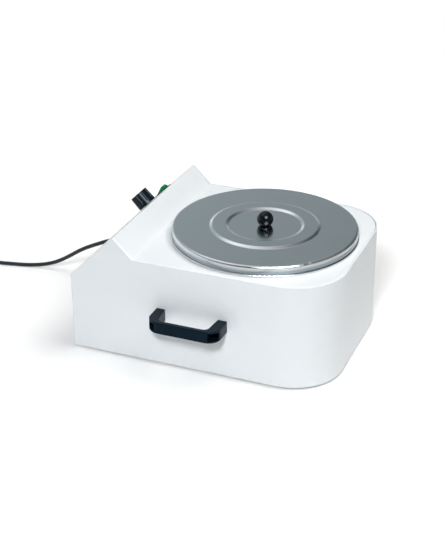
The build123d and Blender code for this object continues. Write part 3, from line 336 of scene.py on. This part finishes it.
def make_camera():
    data = bpy.data.cameras.new("camera")
    data.sensor_width = SENSOR
    data.lens = FOCAL_PIXELS * SENSOR / PHOTO_LONG_SIDE
    data.clip_start = CLIP_NEAR
    data.clip_end = CLIP_FAR
    camera = bpy.data.objects.new("camera", data)
    bpy.context.scene.collection.objects.link(camera)
    back = Vector((math.sin(AZIMUTH) * math.cos(ELEVATION),
                   -math.cos(AZIMUTH) * math.cos(ELEVATION), math.sin(ELEVATION)))
    right = Vector((math.cos(AZIMUTH), math.sin(AZIMUTH), 0))
    up = back.cross(right)
    turn = Matrix((right, up, back)).transposed()
    camera.matrix_world = Matrix.Translation(CAMERA_PLACE) @ turn.to_4x4()
    bpy.context.scene.camera = camera


make_camera()

# Mains cord: the route's points in metres, then the coil's turns, then the plug's lead
CORD_RADIUS = 0.0033
CORD_ORDER = 3
CORD_STEPS = 6
CORD_SIDES = 6
COIL_X = -0.545
COIL_ENTRY_Y = 0.042
COIL_LOW = 0.0046
COIL_LAYER = 0.0071
COIL_PITCH = 0.0071
COIL_TURNS = 3
POINTS_PER_HALF = 8
route = [
    (-0.227, 0.070, 0.076), (-0.245, 0.070, 0.076), (-0.273, 0.070, 0.0628),
    (-0.304, 0.070, 0.0475), (-0.338, 0.069, 0.0233), (-0.366, 0.0665, 0.0093),
    (-0.400, 0.060, 0.0035), (-0.440, 0.051, 0.0035), (-0.475, 0.0445, 0.0037),
    (-0.510, 0.042, 0.0046)]
lead = [
    (-0.572, 0.042, 0.0117), (-0.600, 0.0445, 0.0156), (-0.626, 0.050, 0.019),
    (-0.644, 0.055, 0.019)]


def coil_points():
    """Two layers: spiral in below, climb in one half turn, spiral out above."""
    low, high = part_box("cord_coil")
    first = (high.y - low.y - 2 * CORD_RADIUS + COIL_PITCH / 2) / 2 - COIL_PITCH / 4
    step = COIL_PITCH / 2
    inward = 2 * COIL_TURNS
    y = COIL_ENTRY_Y
    spots = []
    for k in range(2 * inward):
        size = first - step * (k if k <= inward else 2 * inward - k)
        heading = -1 if k % 2 == 0 else 1
        centre = y + heading * size
        reach = size / math.cos(math.pi / POINTS_PER_HALF / 2)
        for j in range(POINTS_PER_HALF):
            angle = math.pi * (j + 0.5) / POINTS_PER_HALF
            if k < inward:
                z = COIL_LOW
            elif k == inward:
                z = COIL_LOW + COIL_LAYER * (1 - math.cos(angle)) / 2
            else:
                z = COIL_LOW + COIL_LAYER
            spots.append((COIL_X + heading * reach * math.sin(angle),
                          centre - heading * reach * math.cos(angle), z))
        y = y + heading * 2 * size
    return spots


def make_cord():
    """The whole cord as one smooth tube, with its gland, tie, plug and pins on it."""
    spots = route + coil_points() + lead
    data = bpy.data.curves.new("mains_cord_flex", "CURVE")
    data.dimensions = "3D"
    spline = data.splines.new("NURBS")
    spline.points.add(len(spots) - 1)
    for point, spot in zip(spline.points, spots):
        point.co = (*spot, 1)
    spline.order_u = CORD_ORDER
    spline.use_endpoint_u = True
    data.resolution_u = CORD_STEPS
    data.bevel_depth = CORD_RADIUS
    data.bevel_resolution = CORD_SIDES
    data.use_fill_caps = True
    data.materials.append(cord_black)
    flex = bpy.data.objects.new("mains_cord_flex", data)
    bpy.context.scene.collection.objects.link(flex)
    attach(flex, "body")
    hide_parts("mains_cord", "cord_coil", "plug_lead")


make_cord()

# Marks printed on the panel, the knob and the rocker
MARK_THICK = 0.00012
MARK_EDGE = 0.00005
MARK_EDGE_STEPS = 2
KNOB_CENTRE = Vector((-0.1675, 0.048, 0.1615))
KNOB_TOP = 0.024
SCALE_START = 135
SCALE_SWEEP = 270
SCALE_STEPS = 10
SCALE_RADIUS = 0.0185
SCALE_SHORT = 0.0205
SCALE_LONG = 0.022
SCALE_WIDTH = 0.0008
POINTER_LOW = 0.005
POINTER_HIGH = 0.0132
POINTER_WIDTH = 0.0014
PADDLE_PIVOT = Vector((-0.16453015, 0.107, 0.15853015))
PADDLE_RISE = 0.0089
PADDLE_TILT = 19.5
SIGN_PLACE = 0.0055
SIGN_RADIUS = 0.0016
SIGN_WIDTH = 0.0006
SIGN_SIDES = 16
SIGN_OVERLAP = 1.2
mark_grey = finish_surface(
    "mark_grey", (0.045, 0.050, 0.055), (0.075, 0.08, 0.085),
    rough=0.5, spread=0.06, grain=1500, depth=0.00001)
mark_white = finish_surface(
    "mark_white", (0.72, 0.73, 0.74), (0.80, 0.81, 0.82),
    rough=0.45, spread=0.06, grain=1500, depth=0.00001)


def make_marks(name, body, material, origin, along, normal, bars):
    """Thin bars on a flat face: each has a middle u, v, an angle, a length and a width."""
    across = normal.cross(along)
    mesh = bmesh.new()
    for u, v, angle, length, width in bars:
        run = along * math.cos(angle) + across * math.sin(angle)
        side = normal.cross(run)
        middle = origin + along * u + across * v
        rings = []
        for lift in (0.0, MARK_THICK):
            corners = []
            for a, b in ((-1, -1), (1, -1), (1, 1), (-1, 1)):
                spot = middle + run * (a * length / 2) + side * (b * width / 2)
                corners.append(mesh.verts.new(spot + normal * lift))
            rings.append(corners)
        low, high = rings
        mesh.faces.new(reversed(low))
        mesh.faces.new(high)
        for k in range(4):
            after = (k + 1) % 4
            mesh.faces.new((low[k], low[after], high[after], high[k]))
    data = bpy.data.meshes.new(name)
    mesh.to_mesh(data)
    mesh.free()
    data.materials.append(material)
    piece = bpy.data.objects.new(name, data)
    bpy.context.scene.collection.objects.link(piece)
    soften = piece.modifiers.new("soften", "BEVEL")
    soften.width = MARK_EDGE
    soften.segments = MARK_EDGE_STEPS
    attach(piece, body)


def spoke(angle, low, high, width):
    """A bar that points away from the middle, between two radii."""
    reach = (low + high) / 2
    return (reach * math.cos(angle), reach * math.sin(angle), angle, high - low, width)


def dial_bars(start):
    """Ticks from the start angle clockwise, every other one longer."""
    step = math.radians(SCALE_SWEEP) / SCALE_STEPS
    bars = []
    for k in range(SCALE_STEPS + 1):
        high = SCALE_LONG if k % 2 == 0 else SCALE_SHORT
        bars.append(spoke(start - k * step, SCALE_RADIUS, high, SCALE_WIDTH))
    return bars


def sign_bars():
    """An I at the upper end of the paddle and an O at its lower end."""
    bars = [(SIGN_PLACE, 0.0, 0.0, 2 * SIGN_RADIUS, SIGN_WIDTH)]
    side = SIGN_OVERLAP * 2 * math.pi * SIGN_RADIUS / SIGN_SIDES
    for k in range(SIGN_SIDES):
        angle = 2 * math.pi * k / SIGN_SIDES
        bars.append((SIGN_RADIUS * math.cos(angle) - SIGN_PLACE,
                     SIGN_RADIUS * math.sin(angle), angle + math.pi / 2, side, SIGN_WIDTH))
    return bars


def make_control_marks():
    """Scale round the knob from lower left to lower right, its pointer, and I and O."""
    normal = Vector((-1, 0, 1)).normalized()
    uphill = Vector((1, 0, 1)).normalized()
    start = math.radians(SCALE_START)
    make_marks("dial_scale", "body", mark_grey, KNOB_CENTRE, uphill, normal,
               dial_bars(start))
    top = KNOB_CENTRE + normal * KNOB_TOP
    make_marks("knob_pointer", "knob", mark_white, top, uphill, normal,
               [spoke(start, POINTER_LOW, POINTER_HIGH, POINTER_WIDTH)])
    lean = math.radians(PADDLE_TILT)
    face = normal * math.cos(lean) - uphill * math.sin(lean)
    length = uphill * math.cos(lean) + normal * math.sin(lean)
    make_marks("rocker_signs", "rocker", mark_white,
               PADDLE_PIVOT + face * PADDLE_RISE, length, face, sign_bars())


make_control_marks()

# Floor. Its glow is seen by the camera alone, and distances are from the object's middle.
FLOOR_REACH = 2.4
FLOOR_WHITE = 0.85
FLOOR_ROUGH = 0.9
FLOOR_SPECULAR = 0.1
GLOW_START = 0.3
GLOW_END = 0.9
GLOW_LOW = 0.15
GLOW_HIGH = 0.62
FADE_START = 0.8
FADE_END = 1.4


def make_floor():
    """White table that fades into the white surround well clear of the object."""
    corners = [(-FLOOR_REACH, -FLOOR_REACH, 0), (FLOOR_REACH, -FLOOR_REACH, 0),
               (FLOOR_REACH, FLOOR_REACH, 0), (-FLOOR_REACH, FLOOR_REACH, 0)]
    data = bpy.data.meshes.new("floor")
    data.from_pydata(corners, [], [(0, 1, 2, 3)])
    material, tree, shader = new_tree("floor_white")
    shader.inputs["Base Color"].default_value = (FLOOR_WHITE, FLOOR_WHITE, FLOOR_WHITE, 1)
    shader.inputs["Emission Color"].default_value = (1, 1, 1, 1)
    shader.inputs["Roughness"].default_value = FLOOR_ROUGH
    shader.inputs["Specular IOR Level"].default_value = FLOOR_SPECULAR
    place = add(tree, "ShaderNodeTexCoord")
    length = add(tree, "ShaderNodeVectorMath", operation="LENGTH")
    tree.links.new(place.outputs["Object"], length.inputs[0])
    distance = length.outputs["Value"]
    glow = ranged(tree, distance, GLOW_LOW, GLOW_HIGH, GLOW_START, GLOW_END)
    path = add(tree, "ShaderNodeLightPath")
    seen = combined(tree, "MULTIPLY", glow, path.outputs["Is Camera Ray"])
    tree.links.new(seen, shader.inputs["Emission Strength"])
    fade = ranged(tree, distance, 0.0, 1.0, FADE_START, FADE_END,
                  interpolation_type="SMOOTHSTEP")
    clear = add(tree, "ShaderNodeBsdfTransparent")
    surface = mixed(tree, fade, shader.outputs["BSDF"], clear.outputs["BSDF"])
    tree.links.new(surface, tree.nodes["Material Output"].inputs["Surface"])
    data.materials.append(material)
    floor = bpy.data.objects.new("floor", data)
    bpy.context.scene.collection.objects.link(floor)


# World. Reflections see the studio: x, y and z below are parts of the direction that they
# look in, each from -1 to 1, and the studio's levels go with z.
STUDIO_LEVELS = [(-1.0, 0.5), (0.04, 0.55), (0.16, 0.48), (0.3, 0.29), (0.5, 0.25),
                 (0.66, 0.34), (0.85, 0.78), (1.0, 0.85)]
BRIGHT_LEVEL = 0.4
BRIGHT_TINT = (0.93, 0.98)
DARK_TINT = (0.80, 0.95)
LEFT_STRENGTH = 2.7
RIGHT_STRENGTH = 0.325
LEFT_END_X = 0.3
FRONT_STRENGTH = 0.45
FRONT_Y = -0.8
BACK_Y = 0.1
FAR_RIGHT_STRENGTH = 0.45
FAR_RIGHT_START_X = 0.35
FAR_RIGHT_END_X = 0.95
SPOT_TOWARD = Vector((0.99, -1.21, 1.54)).normalized()
SPOT_EDGE = math.cos(math.radians(25))
SPOT_MIDDLE = math.cos(math.radians(8))
SPOT_STRENGTH = 12.5
SURROUND_COLOUR = (0.8, 0.92, 1, 1)
SURROUND_LIGHT = 0.03


def studio_colours(tree, z):
    """Grey that changes with height, a little bluer where it is dark."""
    ramp = add(tree, "ShaderNodeValToRGB")
    stops = ramp.color_ramp.elements
    stops.remove(stops[1])
    for index, (height, level) in enumerate(STUDIO_LEVELS):
        position = (height + 1) / 2
        stop = stops[0] if index == 0 else stops.new(position)
        stop.position = position
        red, green_part = BRIGHT_TINT if level > BRIGHT_LEVEL else DARK_TINT
        stop.color = (level * red, level * green_part, level, 1)
    tree.links.new(ranged(tree, z, 0.0, 1.0, -1.0, 1.0), ramp.inputs["Fac"])
    return ramp.outputs["Color"]


def studio_strength(tree, x, y):
    """Bright on the left, dimmer towards the front and brighter again on the far right."""
    side = ranged(tree, x, LEFT_STRENGTH, RIGHT_STRENGTH, -1.0, LEFT_END_X)
    front = ranged(tree, y, FRONT_STRENGTH, 1.0, FRONT_Y, BACK_Y)
    far_right = ranged(tree, x, 0.0, FAR_RIGHT_STRENGTH, FAR_RIGHT_START_X, FAR_RIGHT_END_X)
    both = combined(tree, "ADD", side, far_right)
    return combined(tree, "MULTIPLY", both, front)


def studio_spot(tree, vector):
    """A soft round spot up in front on the right, for highlights."""
    toward = add(tree, "ShaderNodeVectorMath", {1: SPOT_TOWARD}, operation="DOT_PRODUCT")
    tree.links.new(vector, toward.inputs[0])
    strength = ranged(tree, toward.outputs["Value"], 0.0, SPOT_STRENGTH, SPOT_EDGE,
                      SPOT_MIDDLE, interpolation_type="SMOOTHSTEP")
    spot = add(tree, "ShaderNodeBackground", {"Color": (1, 1, 1, 1)})
    tree.links.new(strength, spot.inputs["Strength"])
    return spot.outputs["Background"]


def make_world():
    """White to the camera, even soft light on surfaces, and a studio for reflections."""
    world = bpy.data.worlds.new("studio")
    bpy.context.scene.world = world
    world.use_nodes = True
    tree = world.node_tree
    place = add(tree, "ShaderNodeTexCoord")
    toward = directions(tree, place.outputs["Generated"])
    studio = tree.nodes["Background"]
    tree.links.new(studio_colours(tree, toward["Z"]), studio.inputs["Color"])
    strength = studio_strength(tree, toward["X"], toward["Y"])
    tree.links.new(strength, studio.inputs["Strength"])
    white = add(tree, "ShaderNodeBackground", {"Color": (1, 1, 1, 1), "Strength": 1.0})
    even = add(tree, "ShaderNodeBackground",
               {"Color": SURROUND_COLOUR, "Strength": SURROUND_LIGHT})
    path = add(tree, "ShaderNodeLightPath")
    both = add(tree, "ShaderNodeAddShader")
    tree.links.new(studio.outputs["Background"], both.inputs[0])
    tree.links.new(studio_spot(tree, place.outputs["Generated"]), both.inputs[1])
    lit = mixed(tree, path.outputs["Is Glossy Ray"], even.outputs["Background"],
                both.outputs["Shader"])
    surround = mixed(tree, path.outputs["Is Camera Ray"], lit, white.outputs["Background"])
    tree.links.new(surround, tree.nodes["World Output"].inputs["Surface"])


def add_lamp(name, place, aim, size, power, colour=(1, 1, 1)):
    """Round lamp that lights surfaces and isn't seen in reflections."""
    data = bpy.data.lights.new(name, "AREA")
    data.shape = "DISK"
    data.size = size
    data.energy = power
    data.color = colour
    lamp = bpy.data.objects.new(name, data)
    bpy.context.scene.collection.objects.link(lamp)
    lamp.visible_glossy = False
    lamp.location = place
    lamp.rotation_mode = "QUATERNION"
    lamp.rotation_quaternion = (Vector(aim) - Vector(place)).to_track_quat("-Z", "Y")


make_floor()
make_world()
add_lamp("key", place=(0.4, -1.95, 1.7), aim=(0, 0, 0.1), size=0.5, power=41.5,
         colour=(0.955, 0.98, 1.0))
add_lamp("overhead", place=(1.1, 0.3, 2.8), aim=(0, 0, 0.1), size=2.0, power=60.5,
         colour=(1.0, 0.985, 0.965))
add_lamp("back_fill", place=(-1.7, 1.5, 0.55), aim=(0, 0, 0.08), size=1.2, power=14.0)
bpy.context.scene.view_settings.view_transform = "Standard"
